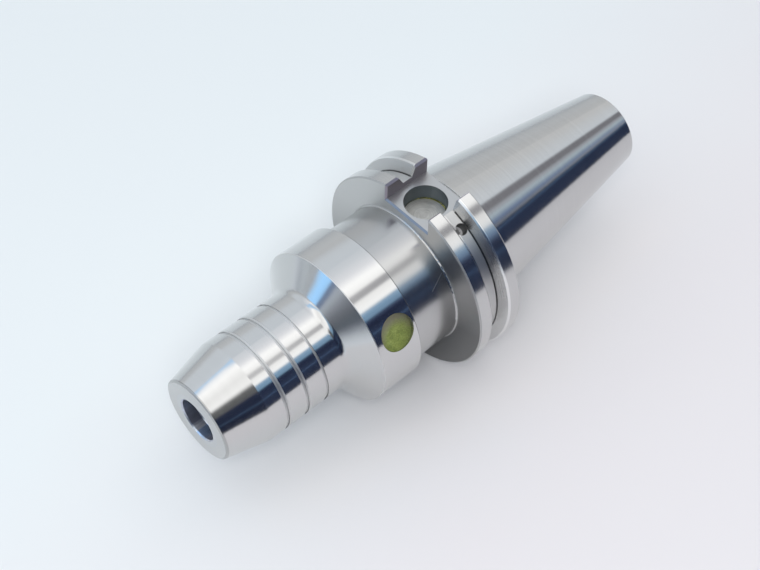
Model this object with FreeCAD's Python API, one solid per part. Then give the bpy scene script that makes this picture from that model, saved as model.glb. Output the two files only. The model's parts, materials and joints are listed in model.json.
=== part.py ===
import FreeCAD, Part
import math
import os

# Hydraulic expansion chuck on a 40 taper V-flange shank, for a half inch tool.
# Lengths are in millimetres. Along the tool axis, s is counted from the gauge line
# of the taper, positive towards the nose. Round the axis, angles are in degrees from
# the middle of the upper drive slot, positive towards +Y.

# Taper shank
gauge_d = 44.45
taper_per_length = 7 / 24
shank_length = 68.25
shank_end_chamfer = 0.8
shank_end_rounding = 0.3
pilot_d = 16.3
pilot_depth = 5.0
pilot_chamfer = 0.6
drawbar_d = 13.6
drawbar_depth = 30.0
coolant_d = 8.0
drill_point_angle = 118.0

# V-flange and its drive slots
flange_d = 63.5
flange_gap = 3.175
flange_width = 15.875
flange_edge = 0.4
groove_from_back = 7.935
groove_bottom_d = 56.36
groove_bottom_ahead = 1.34
groove_bottom_behind = 2.2
groove_angle_ahead = 30.0
groove_angle_behind = 20.5
groove_corner_width = 0.35
groove_corner_depth = 0.25
groove_edge = 0.2
relief_d = 43.6
relief_width = 2.3
relief_bevel = 0.3
slot_width = 16.38
slot_floor_height = 25.0
slot_chamfer = 0.8
slot_front_chamfer = 0.55

# Neck, head and nose
neck_d = 44.45
neck_length = 15.95
neck_fillet = 0.6
head_d = 49.0
head_length = 14.04
head_edge = 0.35
shoulder_length = 5.86
shoulder_fillet = 2.4
nose_d = 32.0
nose_cone_length = 13.45
nose_end_d = 25.72
nose_edge = 0.6
projection = 95.25
ring_groove_count = 3
ring_groove_width = 1.1
ring_groove_depth = 0.3
ring_groove_pitch = 7.0
ring_groove_from_cone = 5.2

# Expansion sleeve
tool_d = 12.7
sleeve_d = 17.2
sleeve_length = 51.25
membrane = 1.2
rear_land = 5.0
middle_land = 4.0
front_land = 7.75
rear_chamber_length = 18.0
mouth_relief_d = 13.2
mouth_relief_depth = 3.6
mouth_chamfer = 0.4
land_slot_width = 1.6

# Length adjusting screw
adjuster_d = 10.0
adjuster_room = 30.0
adjuster_length = 14.0
adjuster_hole_d = 2.6
adjuster_key = 4.0
adjuster_key_depth = 4.0
adjuster_travel = 5.0
adjuster_front_gap = 1.0
adjuster_seal_section = 1.5
adjuster_seal_from_end = 2.2
adjuster_groove_side = 0.2
adjuster_groove_floor = 0.1

# Actuation bore, square to the tool axis and below it, in the head
actuation_from_step = 7.0
actuation_wall = 2.15
actuation_d = 10.0
piston_d = 7.0
chamber_end = 12.5
piston_length = 6.5
piston_stroke = 4.0
piston_end_gap = 1.0
screw_end_gap = 0.4
piston_nose_land = 0.8
seal_width = 1.3
backup_width = 0.7
seal_depth = 0.9
thrust_ball_d = 4.0
thrust_ball_proud = 1.4
thrust_cup_depth = 0.7
actuation_screw_length = 8.0
screw_chamfer = 0.6
actuation_key = 5.0
actuation_key_depth = 4.5
retaining_ring_thickness = 0.8
retaining_ring_bite = 0.4
retaining_ring_inner_d = 7.2
retaining_ring_opening = 40.0

# Oil ports in the head, each closed by a ball, a screw and cast resin
port_from_step = 6.5
port_angles = {"filler": -60.0, "vent": 90.0}
port_pocket_d = 11.0
port_pocket_depth = 3.5
port_thread_d = 6.0
port_thread_depth = 4.0
port_seat_hole_d = 1.6
port_seat_hole_depth = 0.6
port_ball_d = 3.0
port_screw_length = 2.9
port_key = 3.0
port_key_depth = 1.6
resin_recess = 1.2
resin_dish = 0.35
resin_rim = 0.3
oil_hole_d = 2.0
oil_hole_inset = 1.0
port_hole_into_sleeve = 13.0
pressure_hole_into_sleeve = 19.0

# Balancing pocket in the floor of the upper slot, and set screws in the V-groove
pocket_from_back = 8.225
pocket_d = 12.7
pocket_depth = 7.2
disc_d = 12.3
disc_thickness = 1.8
disc_shift = 0.12
disc_resin_rise = 0.15
balance_angles = (-28.8, 151.2)
balance_from_back = 7.6
balance_d = 3.6
balance_depth = 7.5
balance_screw_length = 4.0
balance_key = 2.0
balance_key_depth = 1.8

# Clearances, each on the radius, and how far cuts run past the metal they open
thread_gap = 0.06
piston_gap = 0.04
seal_gap = 0.02
seat_gap = 0.02
ball_gap = 0.15
overrun = 1.0

# Places along the tool axis
flange_back = flange_gap
flange_front = flange_gap + flange_width
groove_s = flange_back + groove_from_back
pocket_s = flange_back + pocket_from_back
balance_s = flange_back + balance_from_back
head_back = flange_front + neck_length
head_front = head_back + head_length
shoulder_end = head_front + shoulder_length
nose_cone_start = projection - nose_cone_length
sleeve_back = projection - sleeve_length
adjuster_back = sleeve_back - adjuster_room
actuation_s = head_back + actuation_from_step
port_s = head_back + port_from_step
actuation_offset = sleeve_d / 2 + actuation_wall + actuation_d / 2

axis_x = FreeCAD.Vector(1, 0, 0)
axis_y = FreeCAD.Vector(0, 1, 0)
origin = FreeCAD.Vector(0, 0, 0)


def outward(angle):
    """Unit vector that points away from the tool axis at an angle from the upper slot."""
    turn = math.radians(angle)
    return FreeCAD.Vector(0, math.sin(turn), math.cos(turn))


def place(s, radius, angle):
    """Point at a distance along the tool axis, at a radius and an angle round it."""
    return FreeCAD.Vector(-s, 0, 0) + outward(angle) * radius


def rod(base, direction, diameter, length):
    """Round bar from a point along a direction."""
    return Part.makeCylinder(diameter / 2, length, base, direction)


def rod_between(start, end, diameter):
    """Round bar from one point to another."""
    along = end - start
    return rod(start, along, diameter, along.Length)


def cone(base, direction, start_d, end_d, length):
    """Tapered bar from a point along a direction."""
    return Part.makeCone(start_d / 2, end_d / 2, length, base, direction)


def hex_bar(base, direction, across_flats, length):
    """Six-sided bar, for the socket that a key fits."""
    corner = across_flats / 2 / math.cos(math.pi / 6)
    side = direction.cross(axis_x if abs(direction.x) < 0.5 else axis_y)
    side.normalize()
    up = direction.cross(side)
    points = []
    for number in range(7):
        turn = math.radians(60 * number)
        points.append(base + side * (corner * math.cos(turn)) + up * (corner * math.sin(turn)))
    return Part.Face(Part.makePolygon(points)).extrude(direction * length)


def turned(outline):
    """Solid turned about the tool axis from corners given as s, radius and corner rounding."""
    corners = [(FreeCAD.Vector(-s, 0, radius), rounding) for s, radius, rounding in outline]
    edges = []
    last = None
    first = None
    for number, (corner, rounding) in enumerate(corners):
        before = corners[number - 1][0] - corner
        after = corners[(number + 1) % len(corners)][0] - corner
        before.normalize()
        after.normalize()
        half = before.getAngle(after) / 2
        reach = rounding / math.tan(half)
        start = corner + before * reach
        end = corner + after * reach
        if last is None:
            first = start
        elif (start - last).Length > 1e-6:
            edges.append(Part.LineSegment(last, start).toShape())
        if rounding > 0:
            middle = before + after
            middle.normalize()
            crown = corner + middle * (rounding / math.sin(half) - rounding)
            edges.append(Part.Arc(start, crown, end).toShape())
        last = end
    edges.append(Part.LineSegment(last, first).toShape())
    face = Part.Face(Part.Wire(edges))
    return face.revolve(origin, axis_x, 360)


def taper_radius(s):
    """Radius of the taper shank at a place behind the gauge line."""
    return (gauge_d + taper_per_length * s) / 2


def outer_form():
    """The holder's outside: taper, relief, flange with its V-groove, neck, head and nose."""
    shank_end = -shank_length
    end_r = taper_radius(shank_end)
    flange_r = flange_d / 2
    bottom_r = groove_bottom_d / 2
    depth = flange_r - bottom_r
    bottom_back = groove_s - groove_bottom_behind
    bottom_front = groove_s + groove_bottom_ahead
    mouth_back = bottom_back - depth * math.tan(math.radians(groove_angle_behind))
    mouth_front = bottom_front + depth * math.tan(math.radians(groove_angle_ahead))
    corner_r = bottom_r - groove_corner_depth
    outline = [
        (shank_end, 0, 0),
        (shank_end, end_r - shank_end_chamfer, 0),
        (shank_end + shank_end_chamfer, taper_radius(shank_end + shank_end_chamfer), shank_end_rounding),
        (flange_back - relief_width, taper_radius(flange_back - relief_width), 0),
        (flange_back - relief_width + relief_bevel, relief_d / 2, 0),
        (flange_back, relief_d / 2, 0),
        (flange_back, flange_r - flange_edge, 0),
        (flange_back + flange_edge, flange_r, 0),
        (mouth_back - groove_edge, flange_r, 0),
        (mouth_back + groove_edge, flange_r - groove_edge * 2, 0),
        (bottom_back, bottom_r, 0),
        (bottom_back, corner_r, 0),
        (bottom_back + groove_corner_width, corner_r, 0),
        (bottom_back + groove_corner_width, bottom_r, 0),
        (bottom_front, bottom_r, 0),
        (mouth_front - groove_edge, flange_r - groove_edge * 2, 0),
        (mouth_front + groove_edge, flange_r, 0),
        (flange_front - flange_edge, flange_r, 0),
        (flange_front, flange_r - flange_edge, 0),
        (flange_front, neck_d / 2, neck_fillet),
        (head_back, neck_d / 2, 0),
        (head_back, head_d / 2 - head_edge, 0),
        (head_back + head_edge, head_d / 2, 0),
        (head_front, head_d / 2, head_edge / 2),
        (shoulder_end, nose_d / 2, shoulder_fillet),
        (nose_cone_start, nose_d / 2, 0),
        (projection - nose_edge / 2, nose_end_d / 2, 0),
        (projection, nose_end_d / 2 - nose_edge, 0),
        (projection, 0, 0),
    ]
    return turned(outline)


def slot_wall_top():
    """Height at which a drive slot's straight wall ends and its flare begins."""
    return math.sqrt((flange_d / 2) ** 2 - (slot_width / 2) ** 2) - slot_chamfer


def drive_slot(angle):
    """One drive slot through the flange, flared at its outer edges and at the front face."""
    half = slot_width / 2
    wall_top = slot_wall_top()
    over = flange_d / 2 + overrun
    flare = over - wall_top
    section = [
        (-half, slot_floor_height),
        (half, slot_floor_height),
        (half, wall_top),
        (half + flare, over),
        (-half - flare, over),
        (-half, wall_top),
        (-half, slot_floor_height),
    ]
    start = flange_back - flange_edge
    wire = Part.makePolygon([FreeCAD.Vector(-start, y, z) for y, z in section])
    cut = Part.Face(wire).extrude(FreeCAD.Vector(-(flange_width + 2 * flange_edge), 0, 0))

    def mouth(s, grow):
        low = slot_floor_height - grow
        wide = half + grow
        corners = [(-wide, low), (wide, low), (wide, over), (-wide, over), (-wide, low)]
        return Part.makePolygon([FreeCAD.Vector(-s, y, z) for y, z in corners])

    ends = [mouth(flange_front - slot_front_chamfer, 0), mouth(flange_front, slot_front_chamfer)]
    front = Part.makeLoft(ends, True, True)
    cut = cut.fuse(front)
    cut.rotate(origin, axis_x, angle)
    return cut


def ring_grooves():
    """Shallow rings turned into the nose."""
    rings = []
    for number in range(ring_groove_count):
        middle = nose_cone_start - ring_groove_from_cone - number * ring_groove_pitch
        start = place(middle - ring_groove_width / 2, 0, 0)
        outer = rod(start, -axis_x, nose_d + overrun, ring_groove_width)
        inner = rod(start, -axis_x, nose_d - 2 * ring_groove_depth, ring_groove_width)
        rings.append(outer.cut(inner))
    return rings


def centre_bores():
    """Sleeve seat, adjusting screw bore, coolant bore and drawbar thread, on the tool axis."""
    drill_point = (drawbar_d - coolant_d) / 2 / math.tan(math.radians(drill_point_angle / 2))
    rear = -shank_length
    return [
        rod(place(sleeve_back, 0, 0), -axis_x, sleeve_d, sleeve_length + overrun),
        rod(place(adjuster_back, 0, 0), -axis_x, adjuster_d, adjuster_room + overrun),
        rod(place(rear, 0, 0), -axis_x, coolant_d, shank_length + adjuster_back + overrun),
        rod(place(rear - overrun, 0, 0), -axis_x, drawbar_d, drawbar_depth + overrun),
        cone(place(rear + drawbar_depth, 0, 0), -axis_x, drawbar_d, coolant_d, drill_point),
        rod(place(rear - overrun, 0, 0), -axis_x, pilot_d, pilot_depth + overrun),
        cone(place(rear, 0, 0), -axis_x, pilot_d + 2 * pilot_chamfer, pilot_d, pilot_chamfer),
    ]


def actuation_point(u):
    """Point on the actuation bore's axis; u grows towards the key's side, along +Y."""
    return FreeCAD.Vector(-actuation_s, u, -actuation_offset)


def actuation_layout():
    """Places along the actuation bore at rest, with the screw backed out."""
    piston_front = piston_end_gap + piston_stroke - chamber_end
    piston_back = piston_front + piston_length
    screw_front = piston_back + thrust_ball_proud + seat_gap - thrust_cup_depth
    screw_back = screw_front + actuation_screw_length
    ring_front = screw_back + ball_gap
    return piston_front, piston_back, screw_front, screw_back, ring_front


def actuation_bores():
    """Threaded bore for the screw, piston bore, groove for the retaining ring, and oil hole."""
    ring_front = actuation_layout()[4]
    mouth = head_d / 2
    thread_end = actuation_layout()[2] - piston_stroke - screw_end_gap
    groove_d = actuation_d + 2 * retaining_ring_bite
    chamber = actuation_point(oil_hole_inset - chamber_end)
    angle = math.degrees(math.atan2(chamber.y, chamber.z))
    reach = place(sleeve_back + pressure_hole_into_sleeve, (sleeve_d - oil_hole_d / 2) / 2, angle)
    return [
        rod(actuation_point(thread_end), axis_y, actuation_d, mouth - thread_end),
        rod(actuation_point(-chamber_end), axis_y, piston_d, chamber_end + thread_end + overrun),
        rod(actuation_point(ring_front), axis_y, groove_d, retaining_ring_thickness),
        rod_between(chamber, reach, oil_hole_d),
    ]


def port_bores(angle):
    """Resin pocket, threaded hole with ball seat, and oil hole of one oil port."""
    out = outward(angle)
    thread_top = head_d / 2 - port_pocket_depth
    thread_low = thread_top - port_thread_depth
    seat_length = (port_thread_d - port_seat_hole_d) / 2
    seat_low = thread_low - seat_length
    channel_end = place(port_s, seat_low - port_seat_hole_depth, angle)
    reach = place(sleeve_back + port_hole_into_sleeve, (sleeve_d - oil_hole_d / 2) / 2, angle)
    return [
        rod(place(port_s, thread_top, angle), out, port_pocket_d, port_pocket_depth + overrun),
        rod(place(port_s, thread_low, angle), out, port_thread_d, port_thread_depth + overrun),
        cone(place(port_s, seat_low, angle), out, port_seat_hole_d, port_thread_d, seat_length),
        rod(place(port_s, seat_low - port_seat_hole_depth, angle), out, port_seat_hole_d, overrun),
        rod_between(channel_end, reach, oil_hole_d),
    ]


def balance_bores():
    """Balancing pocket in the slot floor and the tapped holes in the V-groove."""
    pocket_floor = slot_floor_height - pocket_depth
    cuts = [rod(place(pocket_s, pocket_floor, 0), outward(0), pocket_d, pocket_depth + overrun)]
    hole_floor = groove_bottom_d / 2 - balance_depth
    drill_point = balance_d / 2 / math.tan(math.radians(drill_point_angle / 2))
    for angle in balance_angles:
        out = outward(angle)
        cuts.append(rod(place(balance_s, hole_floor, angle), out, balance_d, balance_depth + overrun))
        cuts.append(cone(place(balance_s, hole_floor, angle), -out, balance_d, 0, drill_point))
    return cuts


def holder_body():
    """The one-piece steel holder with all its bores."""
    body = outer_form()
    cuts = [drive_slot(0), drive_slot(180)]
    cuts += ring_grooves()
    cuts += centre_bores()
    cuts += actuation_bores()
    for angle in port_angles.values():
        cuts += port_bores(angle)
    cuts += balance_bores()
    for cut in cuts:
        body = body.cut(cut)
    return body


def expansion_sleeve():
    """Thin-walled sleeve brazed into the nose, with two oil chambers round its bore."""
    outer = sleeve_d / 2
    inner = tool_d / 2
    thin = inner + membrane
    relief = mouth_relief_d / 2
    first = sleeve_back + rear_land
    second = first + rear_chamber_length
    third = second + middle_land
    fourth = projection - front_land
    relief_start = projection - mouth_relief_depth
    outline = [
        (sleeve_back, inner, 0),
        (sleeve_back, outer, 0),
        (first, outer, 0),
        (first, thin, 0),
        (second, thin, 0),
        (second, outer, 0),
        (third, outer, 0),
        (third, thin, 0),
        (fourth, thin, 0),
        (fourth, outer, 0),
        (projection, outer, 0),
        (projection, relief + mouth_chamfer, 0),
        (projection - mouth_chamfer, relief, 0),
        (relief_start, relief, 0),
        (relief_start - (relief - inner), inner, 0),
    ]
    sleeve = turned(outline)
    link = Part.makeBox(middle_land + 2 * overrun, land_slot_width, outer)
    link.translate(FreeCAD.Vector(-third - overrun, -land_slot_width / 2, thin))
    return sleeve.cut(link)


def pressure_piston():
    """Piston with a groove for its seal and a cup for the thrust ball."""
    front, back, screw_front, screw_back, ring_front = actuation_layout()
    body_d = piston_d - 2 * piston_gap
    piston = rod(actuation_point(front), axis_y, body_d, piston_length)
    groove_start = front + piston_nose_land
    groove_width = seal_width + backup_width
    groove = rod(actuation_point(groove_start), axis_y, piston_d + overrun, groove_width)
    core = rod(actuation_point(groove_start), axis_y, piston_d - 2 * seal_depth, groove_width)
    piston = piston.cut(groove.cut(core))
    ball_centre = actuation_point(back + thrust_ball_proud - thrust_ball_d / 2)
    return piston.cut(Part.makeSphere(thrust_ball_d / 2, ball_centre))


def piston_ring(offset, width):
    """Ring in the piston's groove."""
    start = actuation_layout()[0] + piston_nose_land + offset
    ring = rod(actuation_point(start), axis_y, piston_d - 2 * seal_gap, width)
    return ring.cut(rod(actuation_point(start), axis_y, piston_d - 2 * seal_depth, width))


def thrust_ball():
    """Ball that takes the screw's push to the piston."""
    back = actuation_layout()[1]
    return Part.makeSphere(thrust_ball_d / 2, actuation_point(back + thrust_ball_proud - thrust_ball_d / 2))


def actuation_screw():
    """Socket screw that drives the piston, with a cup that clears the ball."""
    screw_front, screw_back = actuation_layout()[2:4]
    body_d = actuation_d - 2 * thread_gap
    full = actuation_screw_length - screw_chamfer
    screw = rod(actuation_point(screw_front + screw_chamfer), axis_y, body_d, full)
    point_d = body_d - 2 * screw_chamfer
    screw = screw.fuse(cone(actuation_point(screw_front), axis_y, point_d, body_d, screw_chamfer))
    socket_floor = screw_back - actuation_key_depth
    screw = screw.cut(hex_bar(actuation_point(socket_floor), axis_y, actuation_key, actuation_key_depth))
    cup_d = thrust_ball_d + 2 * ball_gap
    return screw.cut(rod(actuation_point(screw_front), axis_y, cup_d, thrust_cup_depth))


def retaining_ring():
    """Snap ring that keeps the actuation screw in its bore."""
    start = actuation_layout()[4]
    outer_d = actuation_d + 2 * retaining_ring_bite
    ring = rod(actuation_point(start), axis_y, outer_d, retaining_ring_thickness)
    ring = ring.cut(rod(actuation_point(start), axis_y, retaining_ring_inner_d, retaining_ring_thickness))
    gap = Part.makeCylinder(outer_d, retaining_ring_thickness, actuation_point(start), axis_y,
                            retaining_ring_opening)
    return ring.cut(gap)


def port_ball(angle):
    """Ball on the seat of an oil port."""
    thread_low = head_d / 2 - port_pocket_depth - port_thread_depth
    apex = thread_low - port_thread_d / 2
    centre = apex + port_ball_d / 2 / math.sin(math.pi / 4)
    return Part.makeSphere(port_ball_d / 2, place(port_s, centre, angle))


def port_screw_low():
    """Height of the lower end of an oil port's screw, just on its ball."""
    thread_low = head_d / 2 - port_pocket_depth - port_thread_depth
    apex = thread_low - port_thread_d / 2
    return apex + port_ball_d / 2 / math.sin(math.pi / 4) + port_ball_d / 2


def port_screw(angle):
    """Set screw that holds an oil port's ball down."""
    low = port_screw_low()
    out = outward(angle)
    screw = rod(place(port_s, low, angle), out, port_thread_d, port_screw_length)
    socket_floor = low + port_screw_length - port_key_depth
    return screw.cut(hex_bar(place(port_s, socket_floor, angle), out, port_key, port_key_depth))


def port_resin(angle):
    """Cast resin over an oil port's screw, with a dished top below the head's surface."""
    out = outward(angle)
    pocket_floor = head_d / 2 - port_pocket_depth
    top = head_d / 2 - resin_recess
    resin = rod(place(port_s, pocket_floor, angle), out, port_pocket_d, top - pocket_floor)
    screw_top = port_screw_low() + port_screw_length
    stem = rod(place(port_s, screw_top, angle), out, port_thread_d, pocket_floor - screw_top)
    resin = resin.fuse(stem)
    half = port_pocket_d / 2 - resin_rim
    dish_r = (half ** 2 + resin_dish ** 2) / (2 * resin_dish)
    return resin.cut(Part.makeSphere(dish_r, place(port_s, top - resin_dish + dish_r, angle)))


def pocket_disc():
    """Turned steel disc in the balancing pocket of the upper slot."""
    floor = slot_floor_height - pocket_depth
    base = place(pocket_s + disc_shift, floor, 0)
    return rod(base, outward(0), disc_d, disc_thickness)


def pocket_resin():
    """Resin round the disc, wider on the side of the taper."""
    floor = slot_floor_height - pocket_depth
    height = disc_thickness + disc_resin_rise
    ring = rod(place(pocket_s, floor, 0), outward(0), pocket_d, height)
    hole = rod(place(pocket_s + disc_shift, floor, 0), outward(0), disc_d, height)
    return ring.cut(hole)


def balance_screw(angle):
    """Set screw at the bottom of a tapped hole in the V-groove."""
    out = outward(angle)
    floor = groove_bottom_d / 2 - balance_depth
    screw = rod(place(balance_s, floor, angle), out, balance_d, balance_screw_length)
    socket_floor = floor + balance_screw_length - balance_key_depth
    return screw.cut(hex_bar(place(balance_s, socket_floor, angle), out, balance_key, balance_key_depth))


def adjuster_places():
    """Back and front ends of the length adjusting screw in the middle of its travel."""
    front = sleeve_back - adjuster_travel - adjuster_front_gap
    return front - adjuster_length, front


def length_adjusting_screw():
    """Socket screw behind the tool, with a coolant hole and a groove for its seal."""
    back, front = adjuster_places()
    body_d = adjuster_d - 2 * thread_gap
    chamfer = screw_chamfer
    floor_r = adjuster_d / 2 - adjuster_seal_section - adjuster_groove_floor
    seal_s = back + adjuster_seal_from_end
    half_groove = adjuster_seal_section / 2 + adjuster_groove_side
    outline = [
        (back, adjuster_hole_d / 2, 0),
        (back, body_d / 2 - chamfer, 0),
        (back + chamfer, body_d / 2, 0),
        (seal_s - half_groove, body_d / 2, 0),
        (seal_s - half_groove, floor_r, 0),
        (seal_s + half_groove, floor_r, 0),
        (seal_s + half_groove, body_d / 2, 0),
        (front - chamfer, body_d / 2, 0),
        (front, body_d / 2 - chamfer, 0),
        (front, adjuster_hole_d / 2, 0),
    ]
    screw = turned(outline)
    for base, direction in ((place(front, 0, 0), axis_x), (place(back, 0, 0), -axis_x)):
        screw = screw.cut(hex_bar(base, direction, adjuster_key, adjuster_key_depth))
    return screw


def adjusting_screw_seal():
    """Round rubber ring between the adjusting screw and its bore."""
    back = adjuster_places()[0]
    section = adjuster_seal_section / 2
    ring_r = adjuster_d / 2 - seal_gap - section
    return Part.makeTorus(ring_r, section, place(back + adjuster_seal_from_end, 0, 0), axis_x)


def all_parts():
    """Every piece by name, in the chuck's own frame."""
    parts = {
        "holder_body": holder_body(),
        "expansion_sleeve": expansion_sleeve(),
        "length_adjusting_screw": length_adjusting_screw(),
        "adjusting_screw_seal": adjusting_screw_seal(),
        "actuation_screw": actuation_screw(),
        "screw_retaining_ring": retaining_ring(),
        "thrust_ball": thrust_ball(),
        "pressure_piston": pressure_piston(),
        "piston_seal": piston_ring(0, seal_width),
        "piston_backup_ring": piston_ring(seal_width, backup_width),
        "balance_disc": pocket_disc(),
        "balance_disc_resin": pocket_resin(),
    }
    for name, angle in port_angles.items():
        parts[name + "_ball"] = port_ball(angle)
        parts[name + "_screw"] = port_screw(angle)
        parts[name + "_resin_plug"] = port_resin(angle)
    for number, angle in enumerate(balance_angles, 1):
        parts["balance_screw_" + str(number)] = balance_screw(angle)
    return parts


def rest_height():
    """Height of the tool axis when both flared edges of the lower slot stand on a surface."""
    half = slot_width / 2
    top = slot_wall_top()
    short = (half + top) / 2
    flare = math.sqrt(short ** 2 - (half ** 2 + top ** 2 - (flange_d / 2) ** 2) / 2) - short
    return top + flare


def main():
    parts = all_parts()
    middle = (projection - shank_length) / 2
    shift = FreeCAD.Vector(middle, 0, rest_height())
    for name, shape in parts.items():
        shape.translate(shift)
        shape.exportStep(os.path.join("parts", name + ".step"))
        print(name, "valid", shape.isValid(), "solids", len(shape.Solids), "mm3", round(shape.Volume, 1))


os.makedirs("parts", exist_ok=True)
main()
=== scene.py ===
# %% [markdown]
# A hydraulic expansion chuck
#
# This tool holder joins a milling machine's spindle to a round tool shank. The long taper seats in the
# spindle, the V-flange is where the tool changer holds it, and the grooved nose grips the tool once a screw
# in the thick head has pushed oil round a thin sleeve. The CAD frame has every solid in its place already, so
# the script adds what solids can't say: how each surface was cut or ground, the thread in the open drawbar
# hole, and the studio that bright steel mirrors.

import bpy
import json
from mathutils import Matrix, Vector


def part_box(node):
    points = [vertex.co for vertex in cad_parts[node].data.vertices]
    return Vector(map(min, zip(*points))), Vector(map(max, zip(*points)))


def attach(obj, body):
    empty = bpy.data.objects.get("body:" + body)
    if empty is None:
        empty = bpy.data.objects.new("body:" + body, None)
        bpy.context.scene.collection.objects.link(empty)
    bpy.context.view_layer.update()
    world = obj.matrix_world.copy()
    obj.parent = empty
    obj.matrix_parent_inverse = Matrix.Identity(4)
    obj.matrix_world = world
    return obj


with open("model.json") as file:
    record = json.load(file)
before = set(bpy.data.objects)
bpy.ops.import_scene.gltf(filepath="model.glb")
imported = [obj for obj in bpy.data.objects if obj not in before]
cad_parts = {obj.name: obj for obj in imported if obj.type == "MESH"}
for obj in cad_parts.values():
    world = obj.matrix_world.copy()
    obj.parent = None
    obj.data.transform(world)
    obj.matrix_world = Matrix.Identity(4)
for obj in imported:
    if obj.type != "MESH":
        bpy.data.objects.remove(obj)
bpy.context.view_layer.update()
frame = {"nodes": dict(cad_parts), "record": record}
nodes = frame["nodes"]
print("nodes in the frame:", len(nodes))

# %% Modules and units
import json
import math

import bmesh
import bpy
from mathutils import Matrix, Vector

MM = 0.001
print("Blender", bpy.app.version_string)

# %% [markdown]
# Places on the tool axis
#
# A toolmaker measures a holder from its gauge line, the circle where the taper is 44.45 mm across. The script
# does the same, so that a finish or a thread is placed by the distance that the drawing would give. The axis
# is level, halfway up the holder's own box, and the nose points to -X.

# %% The axis and the gauge line
holder_low, holder_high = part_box("holder_body")
axis_z = (holder_low.z + holder_high.z) / 2
nose_x, shank_x = holder_low.x, holder_high.x
SHANK_LENGTH = 68.25 * MM
gauge_x = shank_x - SHANK_LENGTH


def along(distance):
    """x of a point that many millimetres from the gauge line, towards the nose."""
    return gauge_x - distance * MM


print("axis height", round(axis_z / MM, 3), "mm, gauge line at x", round(gauge_x / MM, 3), "mm")

# %% [markdown]
# Colours and nodes
#
# Colours are picked as sRGB hex values, as they look on a screen, but the renderer adds up light in linear
# values, so one function turns the first into the second. Another adds a shader node, sets it and links it,
# and hands back the socket that is used most. Long chains of nodes then read like sums. A Mix node of colours
# has its result in its third output, so those settings get a name.


# %% Helpers for colours and shader nodes
def linear(hex_colour):
    """An sRGB hex colour as linear red, green, blue and alpha."""
    parts = [int(hex_colour[i:i + 2], 16) / 255 for i in (1, 3, 5)]
    return tuple(c / 12.92 if c <= 0.04045 else ((c + 0.055) / 1.055) ** 2.4 for c in parts) + (1.0,)


def wire(tree, inputs, values):
    """Links each named input to a socket, or sets it to a number, a vector or a colour."""
    for name, value in values.items():
        if isinstance(value, bpy.types.NodeSocket):
            tree.links.new(value, inputs[name])
        else:
            inputs[name].default_value = value


def node(tree, kind, links=None, out=0, stops=None, **settings):
    """Adds one node, sets and links its sockets, and returns its output socket out."""
    made = tree.nodes.new("ShaderNode" + kind)
    for name, value in settings.items():
        setattr(made, name, value)
    wire(tree, made.inputs, links or {})
    for i, (position, colour) in enumerate(stops or ()):
        elements = made.color_ramp.elements
        stop = elements[i] if i < len(elements) else elements.new(position)
        stop.position, stop.color = position, colour
    return made.outputs[out]


def new_material(name):
    """An empty material, its tree and its Principled shader."""
    material = bpy.data.materials.new(name)
    material.use_nodes = True
    return material, material.node_tree, material.node_tree.nodes["Principled BSDF"]


OF_COLOURS = {"out": 2, "data_type": "RGBA"}
print("the grey #808080 is", round(linear("#808080")[0], 3), "in linear light")

# %% [markdown]
# Coordinates for turned parts
#
# Everything round on the holder was cut on a lathe or a grinder, so its marks run round the axis. Object
# coordinates are moved until their zero is on the axis. Their distance from it and their place along it then
# give patterns that are lines on a cylinder and rings on a flat face, whatever the diameter.

# %% Axis coordinates
FACE_RATE = 1.7  # rings on a flat face lie this much closer than on a cylinder


def axis_places(tree, centre, axis="X"):
    """Place along the axis, distance from it, the unit vector away from it, and the moved coordinates."""
    objects = node(tree, "TexCoord", out="Object")
    moved = node(tree, "VectorMath", {0: objects, 1: centre}, operation="SUBTRACT")
    keep = tuple(0.0 if letter == axis else 1.0 for letter in "XYZ")
    across = node(tree, "VectorMath", {0: moved, 1: keep}, operation="MULTIPLY")
    distance = node(tree, "VectorMath", {0: across}, out="Value", operation="LENGTH")
    away = node(tree, "VectorMath", {0: across}, operation="NORMALIZE")
    return node(tree, "SeparateXYZ", {0: moved}, out=axis), distance, away, moved


def turning_marks(tree, place, distance, away, spacing, wander=0.35):
    """Grey noise of 0 to 1 in rings round the axis, spacing metres apart, that wanders on its way round."""
    slope = node(tree, "Math", {0: distance, 1: FACE_RATE, 2: place}, operation="MULTIPLY_ADD")
    rings = node(tree, "Math", {0: slope, 1: 1 / spacing}, operation="MULTIPLY")
    ring_vector = node(tree, "CombineXYZ", {"X": rings})
    slow_turn = node(tree, "VectorMath", {0: away, "Scale": wander}, operation="SCALE")
    vector = node(tree, "VectorMath", {0: ring_vector, 1: slow_turn}, operation="ADD")
    return node(tree, "TexNoise", {"Vector": vector, "Scale": 1.0, "Detail": 3.0, "Roughness": 0.6})


print("rings on a flat face lie", FACE_RATE, "times closer")
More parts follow.
